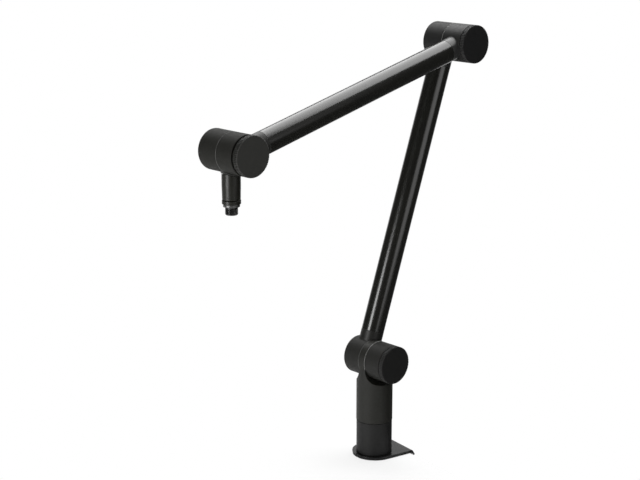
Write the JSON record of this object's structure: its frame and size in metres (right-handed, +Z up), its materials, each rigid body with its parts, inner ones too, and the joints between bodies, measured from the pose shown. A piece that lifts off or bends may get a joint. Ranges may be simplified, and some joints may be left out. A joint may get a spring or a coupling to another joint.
{
  "type": "microphone boom arm",
  "caption": "Desk boom arm for a microphone: lipped foot plate, swivelling post, round tubes, drum-shaped friction joints with hand knobs, and a threaded stud at the end.",
  "frame": {"origin": "on the post's axis at the underside of the foot pad, which is the desk's top", "axes": "+Z up along the post; the arm reaches towards -X; the hand knobs and barrel axes face -Y; the foot's lip is on the +X side"},
  "size_m": [0.4363, 0.073, 0.5755],
  "materials": {
    "foot_paint": "satin black paint on bent steel sheet",
    "pad_rubber": "matte",
    "housing": "fine matte black coat on cast aluminium",
    "knob_coat": "matte black, ribbed rim",
    "tube_anodised": "gloss black anodised",
    "neck_coat": "semi-gloss black",
    "black_steel": "black oxide, semi-gloss",
    "bright_steel": "plain turned",
    "spring_steel": "phosphated",
    "bearing_plastic": "natural acetal",
    "friction_fibre": "woven fibre",
    "insert_brass": "plain turned"
  },
  "bodies": {
    "base": {"desk_pad": "pad_rubber", "base_plate": "foot_paint", "plate_screws": "bright_steel", "swivel_spindle": "bright_steel", "base_collar": "housing", "thrust_ring": "bearing_plastic"},
    "post": {"post": "housing", "swivel_bush": "bearing_plastic", "retaining_screw": "black_steel", "shoulder_bush": "bearing_plastic"},
    "lower_arm": {"shoulder_hub": "housing", "shoulder_drum": "housing", "shoulder_discs": "friction_fibre", "shoulder_stud": "bright_steel", "shoulder_key_washer": "bright_steel", "shoulder_springs": "spring_steel", "lower_tube": "tube_anodised", "elbow_hub": "housing", "elbow_disc": "friction_fibre", "elbow_stud": "bright_steel", "elbow_key_washer": "bright_steel", "elbow_springs": "spring_steel"},
    "upper_arm": {"elbow_drum": "housing", "elbow_bush": "bearing_plastic", "upper_tube": "tube_anodised", "head_drum": "housing", "head_bush": "bearing_plastic"},
    "mic_head": {"head_hub": "housing", "head_disc": "friction_fibre", "head_stud": "bright_steel", "head_key_washer": "bright_steel", "head_springs": "spring_steel", "neck_tube": "neck_coat", "mic_stud": "black_steel", "clip_washer": "black_steel"},
    "shoulder_knob": {"shoulder_knob": "knob_coat", "shoulder_insert": "insert_brass"},
    "elbow_knob": {"elbow_knob": "knob_coat", "elbow_insert": "insert_brass"},
    "head_knob": {"head_knob": "knob_coat", "head_insert": "insert_brass"},
    "lock_ring": {"lock_ring": "neck_coat"}
  },
  "joints": [
    {"name": "swivel", "type": "hinge", "parent": "base", "child": "post", "pos_m": [0, 0, 0.0495], "axis": [0, 0, 1], "continuous": true},
    {"name": "shoulder_tilt", "type": "hinge", "parent": "post", "child": "lower_arm", "pos_m": [0, 0, 0.134], "axis": [0, 1, 0], "range_deg": [-94, 40]},
    {"name": "elbow_tilt", "type": "hinge", "parent": "lower_arm", "child": "upper_arm", "pos_m": [0.14427, 0, 0.54597], "axis": [0, 1, 0], "range_deg": [-28, 129]},
    {"name": "head_tilt", "type": "hinge", "parent": "upper_arm", "child": "mic_head", "pos_m": [-0.24156, 0, 0.44547], "axis": [0, 1, 0], "range_deg": [-29, 155]},
    {"name": "shoulder_knob_turn", "type": "hinge", "parent": "lower_arm", "child": "shoulder_knob", "pos_m": [0, 0, 0.134], "axis": [0, -1, 0], "range_deg": [-180, 180]},
    {"name": "elbow_knob_turn", "type": "hinge", "parent": "lower_arm", "child": "elbow_knob", "pos_m": [0.14427, 0, 0.54597], "axis": [0, -1, 0], "range_deg": [-180, 180]},
    {"name": "head_knob_turn", "type": "hinge", "parent": "mic_head", "child": "head_knob", "pos_m": [-0.24156, 0, 0.44547], "axis": [0, -1, 0], "range_deg": [-180, 180]},
    {"name": "lock_ring_turn", "type": "hinge", "parent": "mic_head", "child": "lock_ring", "pos_m": [-0.24156, 0.0023, 0.38547], "axis": [0, 0, -1], "range_deg": [-180, 180]}
  ]
}
